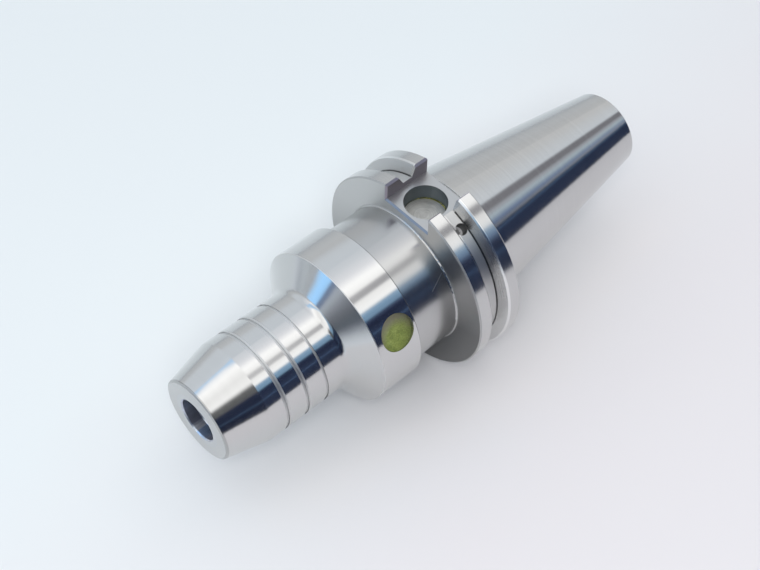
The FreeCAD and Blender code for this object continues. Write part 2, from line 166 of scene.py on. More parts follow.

# %% [markdown]
# Ground and turned alloy steel
#
# The holder is one hardened steel bar, and what the eye reads as different pieces is one metal with different
# finishes: a mirror-like cylindrical grind on the nose and head, a softer turned neck, a fine taper grind,
# faced ends, milled slots and drilled pockets, whose darkness is painted shade. One material holds them all.
# A colour ramp works as a table along the axis, with roughness in red, half the tone in green and the
# strength of the marks in blue. Tone is how bright the steel is, as a share of one common colour; in a few
# places it also paints light or shade.

# %% The finish table along the axis
# Painted light in the tone column: the ring grooves and the relief are raised to lighten the shade in them,
# the groove's rear flank is raised as a painted reflection of a bright band, and the nose's broken edge is
# lowered to a painted dark line.
# start of the stretch in mm from the gauge line, roughness, tone, strength of the marks
FINISHES = [
    (95.25, 0.200, 0.72, 0.10),  # broken edge of the nose
    (94.98, 0.140, 1.00, 0.30),  # nose cone
    (81.80, 0.120, 1.00, 0.15),  # nose cylinder
    (77.15, 0.550, 1.13, 0.30),  # first ring groove
    (76.05, 0.120, 1.00, 0.15),
    (70.15, 0.550, 1.13, 0.30),  # second ring groove
    (69.05, 0.120, 1.00, 0.15),
    (63.15, 0.550, 1.13, 0.30),  # third ring groove
    (62.05, 0.120, 1.00, 0.15),
    (57.40, 0.120, 0.98, 0.20),  # fillet and shoulder cone
    (49.00, 0.110, 1.00, 0.12),  # head
    (35.00, 0.220, 0.82, 0.12),  # neck
    (19.70, 0.520, 0.85, 0.00),  # fillet of the neck
    (19.10, 0.150, 0.95, 0.25),  # front of the flange
    (12.55, 0.420, 0.98, 0.15),  # bottom of the V-groove
    (9.10, 0.200, 1.30, 0.10),  # rear flank of the V-groove
    (7.45, 0.150, 0.95, 0.25),  # back of the flange
    (3.19, 0.500, 1.25, 0.10),  # relief
    (0.90, 0.110, 0.95, 0.45),  # ground taper
]


def along_share(x):
    """x as a share of the holder's length, from its nose."""
    return (x - nose_x) / (shank_x - nose_x)


finish_stops = [
    (max(0.0, along_share(along(start))), (rough, tone / 2, marks, 1.0))
    for start, rough, tone, marks in FINISHES
]
print("finish stretches:", len(finish_stops))

# %% [markdown]
# Reading the table
#
# The material starts with the place along the axis, which looks up the table, and with two patterns: the fine
# marks of the tool, 0.35 mm apart so that they show, and faint smudges the size of a thumb.

# %% Holder steel: table and patterns
MARK_SPACING = 0.35 * MM
SMUDGE_SIZE = 22 * MM
holder_steel, tree, shader = new_material("ground_alloy_steel")
place, distance, away, moved = axis_places(tree, (0, 0, axis_z))
share = node(tree, "MapRange", {"Value": place, "From Min": nose_x, "From Max": shank_x})
table = node(tree, "ValToRGB", {"Fac": share}, stops=finish_stops)
table.node.color_ramp.interpolation = "CONSTANT"
table_rough, table_tone, table_marks = node(tree, "SeparateColor", {"Color": table}).node.outputs[:3]
fine_marks = turning_marks(tree, place, distance, away, MARK_SPACING)
smudges = node(tree, "TexNoise", {"Vector": moved, "Scale": 1 / SMUDGE_SIZE, "Detail": 2.0})
print("table and patterns made")

# %% [markdown]
# Masks for cuts
#
# A table along the axis can't tell a slot from the rim beside it, and it has only 256 entries, 0.64 mm apart.
# Masks do the rest. A mask is 1 on its surface and 0 elsewhere, and it is worked out from the place, the
# distance from the axis and the way that the surface faces. Where several limits hold at once, their masks
# are multiplied.

# %% Mask helpers
SQUARELY, HALFWAY, PARTLY = 0.9, 0.7, 0.5  # how much a surface faces one way, as a cosine


def all_of(tree, first, *others):
    """The product of masks: 1 where every one of them is 1."""
    for other in others:
        first = node(tree, "Math", {0: first, 1: other}, operation="MULTIPLY")
    return first


def between(tree, value, low, high):
    """A mask that is 1 where the value lies between low and high."""
    above = node(tree, "Math", {0: value, 1: low}, operation="GREATER_THAN")
    below = node(tree, "Math", {0: value, 1: high}, operation="LESS_THAN")
    return all_of(tree, above, below)


facing = node(tree, "SeparateXYZ", {0: node(tree, "NewGeometry", out="Normal")}).node.outputs
facing_ends, facing_sides, facing_up = [
    node(tree, "Math", {0: facing[way]}, operation="ABSOLUTE") for way in "XYZ"]
side_y = node(tree, "SeparateXYZ", {0: moved}, out="Y")
off_middle = node(tree, "Math", {0: side_y}, operation="ABSOLUTE")
print("mask helpers ready, cosines", SQUARELY, HALFWAY, PARTLY)

# %% [markdown]
# Faces and slots
#
# A faced surface looks along the axis and scatters more light. Both drive slots were milled through the
# flange, so their floors, broken edges and walls lie inside the flange's stretch and near its middle plane.
# The narrow slope at the front of the upper slot's floor is painted darker and bluer than the rest, a painted
# reflection of the blue side of the room.

# %% Faced and milled surfaces
FACED = (0.93, 0.97)
FLANGE_FROM, FLANGE_TO = 19.2, 3.0  # in mm from the gauge line, as in the table
SLOT_REACH, SLOPE_REACH, SLOT_EDGE_REACH = 8.3 * MM, 8.8 * MM, 9.5 * MM
flat_face = node(tree, "MapRange", {"Value": facing_ends, "From Min": FACED[0], "From Max": FACED[1]})
in_flange = between(tree, place, along(FLANGE_FROM), along(FLANGE_TO))

near_slot = node(tree, "Math", {0: off_middle, 1: SLOT_REACH}, operation="LESS_THAN")
milled = all_of(tree, in_flange, near_slot)
wall = node(tree, "Math", {0: facing_sides, 1: SQUARELY}, operation="GREATER_THAN")
slot_wall = all_of(tree, wall, milled)

broken_edge = node(tree, "Math", {0: facing_sides, 1: PARTLY}, operation="GREATER_THAN")
near_edge = node(tree, "Math", {0: off_middle, 1: SLOT_EDGE_REACH}, operation="LESS_THAN")
slot_side = all_of(tree, broken_edge, near_edge, in_flange)

leaning = node(tree, "Math", {0: facing["X"], 1: -PARTLY}, operation="LESS_THAN")
rising = node(tree, "Math", {0: facing["Z"], 1: PARTLY}, operation="GREATER_THAN")
beside = node(tree, "Math", {0: off_middle, 1: SLOPE_REACH}, operation="LESS_THAN")
front_slope = all_of(tree, leaning, rising, beside, in_flange)
print("slot masks reach", round(SLOT_EDGE_REACH / MM, 1), "mm from the middle")

# %% [markdown]
# Drilled holes
#
# The round pocket in the upper slot and the two balancing holes in the groove's bottom are deep for their
# width. Their walls mostly see each other, so their tone is painted darker than the rim's: painted shade.

# %% Pocket and balancing holes
POCKET_REACH, POCKET_HALF_WIDTH = 6.6 * MM, 7.0 * MM
HOLES_FROM, HOLES_TO = 12.9, 8.7
HOLE_TOP_RADIUS = 27.85 * MM
disc_low, disc_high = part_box("balance_disc")
disc_centre = (disc_low + disc_high) / 2

upright = node(tree, "Math", {0: facing_up, 1: HALFWAY}, operation="LESS_THAN")
in_width = node(tree, "Math", {0: off_middle, 1: POCKET_HALF_WIDTH}, operation="LESS_THAN")
in_length = between(tree, place, disc_centre.x - POCKET_REACH, disc_centre.x + POCKET_REACH)
pocket_wall = all_of(tree, upright, in_width, in_length)

deep = node(tree, "Math", {0: distance, 1: HOLE_TOP_RADIUS}, operation="LESS_THAN")
off_slot = node(tree, "Math", {0: off_middle, 1: SLOT_EDGE_REACH}, operation="GREATER_THAN")
hole_wall = all_of(tree, deep, off_slot, between(tree, place, along(HOLES_FROM), along(HOLES_TO)))
print("pocket at x", round(disc_centre.x / MM, 2), "mm")

# %% [markdown]
# Narrow edges, wear and painted light
#
# The undercut corner of the V-groove is painted dark, a painted shade line, and the head's broken edge gets a
# raised tone, a painted highlight that helps it glint. Both are narrower than one entry of the table. The
# groove's rear flank is dull on the actuation screw's side, and one hair-thin scratch crosses the neck: a
# thin plane cuts the cylinder, and a ball round its middle gives its length. A MapRange node whose From Min
# is larger than its From Max fades from 1 down to 0.

# %% Corner, edge, flank and scratch
CORNER_FROM, CORNER_TO = 9.32, 8.84
EDGE_FROM, EDGE_TO = 49.10, 48.83
FLANK_FROM, FLANK_TO = 8.95, 7.30
BELOW_RIM = 31.5 * MM
PAST_SLOT = 8.9 * MM
DULL_FROM = 9.2 * MM
SCRATCH_PLACE = Vector((along(22.8), -16.9 * MM, 14.3 * MM))
SCRATCH_ACROSS = (0.476, -0.567, -0.671)
SCRATCH_HALF_WIDTHS = (0.14 * MM, 0.05 * MM)
SCRATCH_HALF_LENGTHS = (3.2 * MM, 1.6 * MM)

below_rim = node(tree, "Math", {0: distance, 1: BELOW_RIM}, operation="LESS_THAN")
past_slot = node(tree, "Math", {0: off_middle, 1: PAST_SLOT}, operation="GREATER_THAN")
corner = all_of(tree, between(tree, place, along(CORNER_FROM), along(CORNER_TO)), below_rim, past_slot)
head_edge = between(tree, place, along(EDGE_FROM), along(EDGE_TO))
far_side = node(tree, "Math", {0: side_y, 1: DULL_FROM}, operation="GREATER_THAN")
dull_flank = all_of(tree, between(tree, place, along(FLANK_FROM), along(FLANK_TO)), far_side, below_rim)

from_scratch = node(tree, "VectorMath", {0: moved, 1: SCRATCH_PLACE}, operation="SUBTRACT")
off_plane = node(tree, "VectorMath", {0: from_scratch, 1: SCRATCH_ACROSS}, out="Value",
                 operation="DOT_PRODUCT")
off_plane = node(tree, "Math", {0: off_plane}, operation="ABSOLUTE")
thin = node(tree, "MapRange", {
    "Value": off_plane, "From Min": SCRATCH_HALF_WIDTHS[0], "From Max": SCRATCH_HALF_WIDTHS[1]})
reach = node(tree, "VectorMath", {0: from_scratch}, out="Value", operation="LENGTH")
short = node(tree, "MapRange", {
    "Value": reach, "From Min": SCRATCH_HALF_LENGTHS[0], "From Max": SCRATCH_HALF_LENGTHS[1]})
scratch = all_of(tree, thin, short)
print("scratch fades out", round(SCRATCH_HALF_LENGTHS[0] / MM, 1), "mm from its middle")

# %% [markdown]
# From masks to roughness
#
# Each mask lays its own roughness over the table's, and a later one wins. The tool's marks then swing it
# about, as strongly as the table says, and the smudges add a little everywhere.

# %% Roughness of the holder
SCRATCH_ROUGH, MARKS_ROUGH, SMUDGE_ROUGH = 0.30, 0.16, 0.05
rough = table_rough
for mask, mask_rough in [
        (flat_face, 0.34), (dull_flank, 0.50), (head_edge, 0.35), (milled, 0.38), (slot_side, 0.50)]:
    rough = node(tree, "Mix", {"Factor": mask, "A": rough, "B": mask_rough})
swing = node(tree, "Math", {0: fine_marks, 1: -0.5}, operation="ADD")
swing = node(tree, "Math", {0: swing, 1: table_marks}, operation="MULTIPLY")
for pattern, strength in [(scratch, SCRATCH_ROUGH), (swing, MARKS_ROUGH), (smudges, SMUDGE_ROUGH)]:
    rough = node(tree, "Math", {0: pattern, 1: strength, 2: rough}, operation="MULTIPLY_ADD")
print("holder roughness made")

# %% [markdown]
# From masks to colour
#
# Tone works in the same way. The flange's flat faces are painted darker low down, a painted shade for the
# shadowed floor and neck that they mirror there, so their tone comes from a ramp that climbs them at a slant,
# while the nose's end is the brightest face. A few milled and drilled walls are a little bluer or redder than
# the rest.

# %% Tone and colour of the holder
MARKS_TONE = 0.30
FACE_CLIMB, FACE_REACH = (0, 0.35, 1), 30 * MM
PAINTED_FACE_SHADES = [(0.30, 0.38), (0.53, 0.70), (0.83, 0.88)]
NOSE_FACE_TONE = 0.97
NOSE_FACE_DEPTHS = (1 * MM, 2 * MM)

# Painted shade: the flat faces darken towards their low side.
climb = node(tree, "VectorMath", {0: moved, 1: FACE_CLIMB}, out="Value", operation="DOT_PRODUCT")
climb = node(tree, "MapRange", {"Value": climb, "From Min": -FACE_REACH, "From Max": FACE_REACH})
face_shade_stops = [(at, (grey, grey, grey, 1)) for at, grey in PAINTED_FACE_SHADES]
painted_face_shade = node(tree, "ValToRGB", {"Fac": climb}, stops=face_shade_stops)
behind_nose = node(tree, "MapRange", {
    "Value": place, "From Min": nose_x + NOSE_FACE_DEPTHS[0], "From Max": nose_x + NOSE_FACE_DEPTHS[1]})
face_tone_and_painted_shade = node(tree, "Mix", {"Factor": behind_nose, "A": NOSE_FACE_TONE, "B": painted_face_shade})

tone = node(tree, "Math", {0: table_tone, 1: 2.0}, operation="MULTIPLY")
# Painted shade in this list: the pocket's walls, the balancing holes and the groove's corner; the head's edge
# is a painted highlight and the front slope a painted blue reflection; the flat faces carry the painted shade
# above.
for mask, mask_tone in [
        (flat_face, face_tone_and_painted_shade), (milled, 0.88), (slot_side, 0.95), (slot_wall, 0.48), (pocket_wall, 0.40),
        (hole_wall, 0.22), (front_slope, 0.55), (dull_flank, 0.98), (corner, 0.38), (head_edge, 1.08)]:
    tone = node(tree, "Mix", {"Factor": mask, "A": tone, "B": mask_tone})
tone = node(tree, "Math", {0: swing, 1: MARKS_TONE, 2: tone}, operation="MULTIPLY_ADD")

hue = linear("#CFCFCE")
for mask, mask_hue in [(slot_side, "#CDC4CE"), (pocket_wall, "#C0CCD4"), (front_slope, "#AEBACC")]:
    hue = node(tree, "Mix", {"Factor": mask, "A": hue, "B": linear(mask_hue)}, **OF_COLOURS)
steel = node(tree, "VectorMath", {0: hue, "Scale": tone}, operation="SCALE")
print("holder colour made")

# %% [markdown]
# The shader of the holder
#
# Grinding leaves fine scratches in one direction, and they stretch a highlight across them. The Principled
# shader calls that anisotropic. Its tangent runs round the axis, as the marks do.

# %% Holder steel: the shader
bump = node(tree, "Bump", {"Height": fine_marks, "Strength": 0.05, "Distance": 0.05 * MM})
round_axis = node(tree, "Tangent", direction_type="RADIAL", axis="X")
wire(tree, shader.inputs, {"Base Color": steel, "Roughness": rough, "Normal": bump, "Tangent": round_axis,
                           "Metallic": 1.0, "Anisotropic": 0.5, "Anisotropic Rotation": 0.25})
print("holder steel nodes:", len(tree.nodes))

# %% [markdown]
# The other finishes
#
# The small parts are catalogue items with their own finishes. Grub screws are blackened or zinc plated, balls
# are bearing steel, the piston is ground, the retaining ring is blued spring steel, and the seals are moulded
# rubber with a white plastic ring behind. Most are hidden in the finished chuck, yet each gets the finish
# that a fitter would see with the part in hand. Real grain is too fine to show, so it is drawn a quarter of a
# millimetre to one millimetre wide.


# %% Plain metals and polymers from one recipe
def grained_material(name, colour, dark_colour, metallic, roughness, grain, spread=0.08, bump_depth=0.01):
    """A finish whose colour and roughness vary in grains: grain in metres, bump_depth in millimetres."""
    material, tree, shader = new_material(name)
    objects = node(tree, "TexCoord", out="Object")
    grains = node(tree, "TexNoise", {"Vector": objects, "Scale": 1 / grain, "Detail": 4.0, "Roughness": 0.6})
    dark, light = linear(dark_colour), linear(colour)
    colours = node(tree, "Mix", {"Factor": grains, "A": dark, "B": light}, **OF_COLOURS)
    low, high = roughness - spread, roughness + spread
    rough = node(tree, "MapRange", {"Value": grains, "To Min": low, "To Max": high})
    bump = node(tree, "Bump", {"Height": grains, "Strength": 0.25, "Distance": bump_depth * MM})
    wire(tree, shader.inputs, {"Base Color": colours, "Roughness": rough, "Normal": bump,
                               "Metallic": metallic})
    return material


screw_steel = grained_material("blackened_screw_steel", "#5A5A5E", "#3C3C40", 1.0, 0.38, 0.35 * MM)
bright_screw_steel = grained_material("matt_zinc_plated_steel", "#E6E6E6", "#C4C4C6", 0.3, 0.5, 0.35 * MM)
spring_steel = grained_material("blued_spring_steel", "#6D7078", "#4A4D58", 1.0, 0.30, 0.4 * MM)
ball_steel = grained_material("polished_bearing_steel", "#E2E3E4", "#D5D6D8", 1.0, 0.08, 0.8 * MM,
                              spread=0.02, bump_depth=0.001)
piston_steel = grained_material("ground_piston_steel", "#C6C7C9", "#A9ABAE", 1.0, 0.20, 0.4 * MM)
seal_rubber = grained_material("moulded_nitrile_rubber", "#1E1E1F", "#141415", 0.0, 0.55, 0.25 * MM)
backup_plastic = grained_material("cut_white_plastic", "#EFEDE6", "#E3E0D8", 0.0, 0.45, 0.4 * MM)
print("small part finishes made")

# %% [markdown]
# The sleeve
#
# The brazed sleeve is faced together with the nose, so its end can't be told from the holder's. Its bore was
# honed to size and is duller than the outside, with faint strokes along its wall. Two bright streaks are
# painted round it, one low and one high, with bluish steel beside them: painted reflections of the bright
# room seen through the mouth, which the closed bore would otherwise keep dark. The colours of bore and end
# are made first, and the way that the surface faces picks one.

# %% Bore and end of the sleeve
STROKES_ROUND = 4  # strokes in a stretch of the wall as long as its radius
sleeve_steel, tree, shader = new_material("honed_sleeve_steel")
place, distance, away, moved = axis_places(tree, (0, 0, axis_z))
strokes = node(tree, "VectorMath", {0: away, 1: (0, STROKES_ROUND, STROKES_ROUND)}, operation="MULTIPLY")
strokes = node(tree, "TexNoise", {"Vector": strokes, "Scale": 1.0, "Detail": 3.0, "Roughness": 0.7})
stroke_tone = node(tree, "MapRange", {
    "Value": strokes, "From Min": 0.35, "From Max": 0.65, "To Min": 0.80, "To Max": 1.10})
around = node(tree, "SeparateXYZ", {0: away}, out="Y")
around = node(tree, "MapRange", {"Value": around, "From Min": -1.0, "From Max": 1.0})
# Painted reflections: bright streaks and bluish bands round the bore.
painted_bore_streaks = node(tree, "ValToRGB", {"Fac": around}, stops=[
    (0.22, linear("#C4C4CB")), (0.40, linear("#C5DAF6")), (0.56, linear("#C5DAF6")),
    (0.59, linear("#FDFCFD")), (0.68, linear("#FDFCFD")), (0.74, linear("#A2A2AD")),
    (0.92, linear("#CBCEDA"))])
bore_steel_and_streaks = node(tree, "VectorMath", {0: painted_bore_streaks, "Scale": stroke_tone}, operation="SCALE")

rings = turning_marks(tree, place, distance, away, MARK_SPACING)
ring_tone = node(tree, "Math", {0: rings, 1: 0.08, 2: 0.92}, operation="MULTIPLY_ADD")
end_steel = node(tree, "VectorMath", {0: linear("#CFD0D1")[:3], "Scale": ring_tone}, operation="SCALE")
print("bore and end colours made")

# %% Sleeve steel
FACES_THE_NOSE = -0.95
end_face = node(tree, "SeparateXYZ", {0: node(tree, "NewGeometry", out="Normal")}, out="X")
end_face = node(tree, "Math", {0: end_face, 1: FACES_THE_NOSE}, operation="LESS_THAN")
steel = node(tree, "Mix", {"Factor": end_face, "A": bore_steel_and_streaks, "B": end_steel}, **OF_COLOURS)
rough = node(tree, "Mix", {"Factor": end_face, "A": 0.36, "B": 0.34})
bump = node(tree, "Bump", {"Height": rings, "Strength": 0.10, "Distance": 0.05 * MM})
wire(tree, shader.inputs, {"Base Color": steel, "Roughness": rough, "Normal": bump, "Metallic": 1.0})
print("sleeve steel made")

# %% [markdown]
# Cast olive resin
#
# Oil ports and the balancing disc are sealed with a two-part resin that sets to a cloudy olive green. It is
# poured, so its colour drifts where the mix was not even, and dust settles in it. Two sizes of noise give the
# clouds and the specks, and a low subsurface lets light into it as the real one does.

# %% Clouds and specks
CLOUD_SIZE, SPECK_SIZE = 2.2 * MM, 0.32 * MM
sealing_resin, tree, shader = new_material("cast_olive_resin")
objects = node(tree, "TexCoord", out="Object")
clouds = node(tree, "TexNoise", {"Vector": objects, "Scale": 1 / CLOUD_SIZE, "Detail": 2.0})
specks = node(tree, "TexNoise", {"Vector": objects, "Scale": 1 / SPECK_SIZE, "Detail": 3.0, "Roughness": 0.7})
mixed = node(tree, "Math", {0: clouds, 1: 0.45, 2: specks}, operation="MULTIPLY_ADD")
colours = node(tree, "ValToRGB", {"Fac": mixed}, stops=[
    (0.50, linear("#5E6A33")), (0.72, linear("#7C8940")), (0.95, linear("#98A45C"))])
print("resin patterns made")

# %% [markdown]
# The resin's edge
#
# Towards its edge the resin is thin and turns greyer, more on one side than on the other, and on the other
# side its rim is painted dark, a painted shade where the port's wall shades it. Both plugs share the finish,
# so a point counts from the middle of the nearer plug's face.

# %% Centres of the plugs
FRAY = 2.0 * MM
EDGE_COVER = 0.9
plug_centres = []
for name, outer_side in (("filler_resin_plug", 0), ("vent_resin_plug", 1)):
    plug_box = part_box(name)
    plug_middle = (plug_box[0] + plug_box[1]) / 2
    plug_centres.append(Vector((plug_middle.x, plug_box[outer_side].y, plug_middle.z)))
plug_radius = (plug_box[1].x - plug_box[0].x) / 2


def towards_edge(colours, off_centre, edge_colour, reach):
    """Mixes in edge_colour on the side away from off_centre, with a frayed border."""
    lengths = []
    for plug_centre in plug_centres:
        away_from = node(tree, "VectorMath", {0: objects, 1: plug_centre + off_centre}, operation="SUBTRACT")
        lengths.append(node(tree, "VectorMath", {0: away_from}, out="Value", operation="LENGTH"))
    nearest = node(tree, "Math", {0: lengths[0], 1: lengths[1]}, operation="MINIMUM")
    frayed = node(tree, "Math", {0: clouds, 1: FRAY, 2: nearest}, operation="MULTIPLY_ADD")
    share = node(tree, "MapRange", {"Value": frayed, "From Min": reach[0] * plug_radius,
                                    "From Max": reach[1] * plug_radius, "To Max": EDGE_COVER})
    return node(tree, "Mix", {"Factor": share, "A": colours, "B": linear(edge_colour)}, **OF_COLOURS)


print("plug radius", round(plug_radius / MM, 2), "mm")

# %% Sealing resin
colours = towards_edge(colours, Vector((0.5, 0, -1.4)) * MM, "#7C7868", (1.02, 1.50))
# Painted shade: the dark rim on the side away from this offset.
colours = towards_edge(colours, Vector((-1.3, 0, 0.9)) * MM, "#4B4A30", (0.95, 1.75))
rough = node(tree, "MapRange", {"Value": specks, "To Min": 0.32, "To Max": 0.6})
bump = node(tree, "Bump", {"Height": mixed, "Strength": 0.5, "Distance": 0.06 * MM})
wire(tree, shader.inputs, {"Base Color": colours, "Roughness": rough, "Normal": bump, "IOR": 1.52,
                           "Subsurface Weight": 0.08, "Subsurface Scale": 1.0 * MM})
print("sealing resin made")

# %% [markdown]
# The resin round the disc
#
# In the slot's pocket the resin only filled the gap beside the disc. It crept up the wall on one side and is
# thin and dirty elsewhere, so its colour changes with the direction from the disc's centre.

# %% Fringe resin
CRUMB_SIZE = 0.45 * MM
fringe_resin, tree, shader = new_material("crept_olive_resin")
place, distance, away, moved = axis_places(tree, disc_centre, "Z")
crumbs = node(tree, "TexNoise", {"Vector": moved, "Scale": 1 / CRUMB_SIZE, "Detail": 3.0, "Roughness": 0.7})
towards_shank = node(tree, "SeparateXYZ", {0: away}, out="X")
crept = node(tree, "Math", {0: crumbs, 1: 0.8, 2: towards_shank}, operation="MULTIPLY_ADD")
crept = node(tree, "MapRange", {"Value": crept, "From Min": 0.65, "From Max": 0.95})
crumb_colours = node(tree, "ValToRGB", {"Fac": crumbs}, stops=[
    (0.38, linear("#22230F")), (0.52, linear("#6E6F22")), (0.64, linear("#B9B67A"))])
colours = node(tree, "Mix", {"Factor": crept, "A": linear("#4C4E44"), "B": crumb_colours}, **OF_COLOURS)
bump = node(tree, "Bump", {"Height": crumbs, "Strength": 0.9, "Distance": 0.15 * MM})
wire(tree, shader.inputs, {"Base Color": colours, "Normal": bump, "Roughness": 0.22, "IOR": 1.52})
print("fringe resin made")

# %% [markdown]
# The faced balancing disc
#
# The disc at the bottom of the pocket was faced on a lathe and left matt, so rings run round its own centre,
# not round the holder's axis. The same ring pattern is used with its zero moved to the disc and its axis
# turned to Z. A lathe leaves finer rings, and these are drawn coarser so that they show.

# %% Disc steel
DISC_RING_SPACING, DISC_CLOUD_SIZE = 0.45 * MM, 2.5 * MM
disc_steel, tree, shader = new_material("faced_disc_steel")
place, distance, away, moved = axis_places(tree, disc_centre, "Z")
rings = turning_marks(tree, place, distance, away, DISC_RING_SPACING, wander=0.8)
clouds = node(tree, "TexNoise", {"Vector": moved, "Scale": 1 / DISC_CLOUD_SIZE, "Detail": 2.0})
mixed = node(tree, "Math", {0: clouds, 1: 0.5, 2: rings}, operation="MULTIPLY_ADD")
colours = node(tree, "ValToRGB", {"Fac": mixed}, stops=[(0.45, linear("#B2B0AA")), (0.95, linear("#DEDCD6"))])
bump = node(tree, "Bump", {"Height": rings, "Strength": 0.6, "Distance": 0.05 * MM})
wire(tree, shader.inputs, {"Base Color": colours, "Normal": bump, "Metallic": 1.0, "Roughness": 0.55})
print("disc steel made")

# %% [markdown]
# Finishes on the frame's nodes
#
# The record names a material slot for each node. Looking a finish up by slot, and not by node, keeps the
# finishes in step with it: a node added to the frame later gets its finish with no new line here. Three nodes
# look different from the rest of their slot, and are named one by one.

# %% Assign the finishes
FINISH_OF_SLOT = {
    "holder_steel": holder_steel,
    "sleeve_steel": sleeve_steel,
    "screw_steel": screw_steel,
    "spring_steel": spring_steel,
    "ball_steel": ball_steel,
    "piston_steel": piston_steel,
    "disc_steel": disc_steel,
    "seal_rubber": seal_rubber,
    "backup_plastic": backup_plastic,
    "sealing_resin": sealing_resin,
}
FINISH_OF_NODE = {
    "balance_disc_resin": fringe_resin,
    "balance_screw_1": bright_screw_steel,
    "balance_screw_2": bright_screw_steel,
}
for part in frame["record"]["subparts"]:
    finish = FINISH_OF_NODE.get(part["node"], FINISH_OF_SLOT[part["material_slot"]])
    for material_slot in nodes[part["node"]].material_slots:
        material_slot.material = finish
    print(part["node"], "->", finish.name)

# %% [markdown]
# The thread in the drawbar hole
#
# The solids have plain holes at a thread's inner diameter. From behind, the eye looks straight into the
# drawbar hole and expects its thread, so a ridge is wound along the wall. A four-cornered profile is spun
# about the hole's axis with a step along it each time, which is how a tap cuts: one turn moves it one pitch.

# %% Wind a thread ridge
STEPS_PER_TURN = 40
RIDGE_FOOT, RIDGE_CREST = 0.42, 0.09  # half widths, as shares of the pitch


def thread_ridge(name, start, axis, wall_radius, crest_radius, pitch, turns):
    """A right-hand inner thread: a ridge from wall_radius in to crest_radius, wound from start along axis."""
    axis = Vector(axis).normalized()
    side = axis.orthogonal().normalized()
    profile = [(-RIDGE_FOOT, wall_radius), (-RIDGE_CREST, crest_radius),
               (RIDGE_CREST, crest_radius), (RIDGE_FOOT, wall_radius)]
    mesh = bmesh.new()
    start = Vector(start)
    corners = [mesh.verts.new(start + axis * share * pitch + side * radius) for share, radius in profile]
    section = mesh.faces.new(corners)
    bmesh.ops.spin(mesh, geom=[section, *section.edges, *section.verts], cent=start, axis=axis,
                   dvec=axis * pitch / STEPS_PER_TURN, angle=math.tau * turns,
                   steps=round(turns * STEPS_PER_TURN), use_duplicate=False)
    bmesh.ops.remove_doubles(mesh, verts=mesh.verts, dist=1e-7)
    bmesh.ops.recalc_face_normals(mesh, faces=mesh.faces)
    data = bpy.data.meshes.new(name)
    mesh.to_mesh(data)
    mesh.free()
    data.materials.append(holder_steel)
    for face in data.polygons:
        face.use_smooth = False
    ridge = bpy.data.objects.new(name, data)
    bpy.context.scene.collection.objects.link(ridge)
    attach(ridge, "holder")
    print(name, "faces:", len(data.polygons))


print("steps in a turn of thread:", STEPS_PER_TURN)

# %% The drawbar thread
DRAWBAR_PITCH = 25.4 / 11 * MM
DRAWBAR_TURNS, DRAWBAR_RUN_IN = 8.5, 0.6  # in pitches
DRAWBAR_WALL_RADIUS, DRAWBAR_CREST_RADIUS = 6.83 * MM, 6.05 * MM
PILOT_DEPTH = 5.0 * MM
thread_start = (shank_x - PILOT_DEPTH - DRAWBAR_RUN_IN * DRAWBAR_PITCH, 0, axis_z)
thread_ridge("drawbar_thread", thread_start, (-1, 0, 0), DRAWBAR_WALL_RADIUS, DRAWBAR_CREST_RADIUS,
             DRAWBAR_PITCH, DRAWBAR_TURNS)

# %% [markdown]
# Camera
#
# The view comes from a pinhole camera fitted to the circles, slots and ends of the part in the photograph. It
# stands about 0.42 m from the part's middle, and its lens is a short telephoto. The three directions are the
# picture's right, its down and the way that the camera looks. The lens is a fraction of a pixel off the
# picture's middle, which Blender calls shift and counts in picture widths.

# %% Camera from the fit
CAMERA_PLACE = Vector((-190.02467, -182.65946, 357.79002)) * MM
LOOKS_RIGHT = Vector((0.73500221, -0.6778849, 0.01561475))
LOOKS_DOWN = Vector((-0.52840154, -0.58705121, -0.61332103))
LOOKS_AHEAD = Vector((0.42492772, 0.44254145, -0.78967936))
SENSOR_WIDTH, FOCAL_LENGTH = 36.0, 67.96
PICTURE_SIZE = (760, 570)
LENS_PIXEL = (380.515, 285.598)


def looking_ahead(stand):
    """A placement at stand that is turned as the camera is."""
    turned = Matrix((LOOKS_RIGHT, -LOOKS_DOWN, -LOOKS_AHEAD)).transposed().to_4x4()
    turned.translation = stand
    return turned


camera_data = bpy.data.cameras.new("camera")
camera_data.sensor_width = SENSOR_WIDTH
camera_data.lens = FOCAL_LENGTH
camera_data.shift_x = (PICTURE_SIZE[0] / 2 - LENS_PIXEL[0]) / PICTURE_SIZE[0]
camera_data.shift_y = (LENS_PIXEL[1] - PICTURE_SIZE[1] / 2) / PICTURE_SIZE[0]
camera_data.clip_start = 0.01
camera = bpy.data.objects.new("camera", camera_data)
bpy.context.scene.collection.objects.link(camera)
camera.matrix_world = looking_ahead(CAMERA_PLACE)
bpy.context.scene.camera = camera
print("camera", [round(v, 4) for v in camera.location])

# %% [markdown]
# Floor
#
# The part lies on a smooth pale sheet. A large plane does for it, with little gloss, so that it keeps the
# part's soft shadow and shows as a pale ground in the steel. Its tint turns from cool to faintly warm across
# the picture, from the upper left to the lower right: a painted tint of the cool window light from the upper
# left.


# %% A stage piece
def stage_object(name, mesh, material):
    """Links a bmesh as a piece of the studio, not of the chuck."""
    data = bpy.data.meshes.new(name)
    mesh.to_mesh(data)
    mesh.free()
    data.materials.append(material)
    made = bpy.data.objects.new(name, data)
    bpy.context.scene.collection.objects.link(made)
    print(name, "faces:", len(data.polygons))
    return made


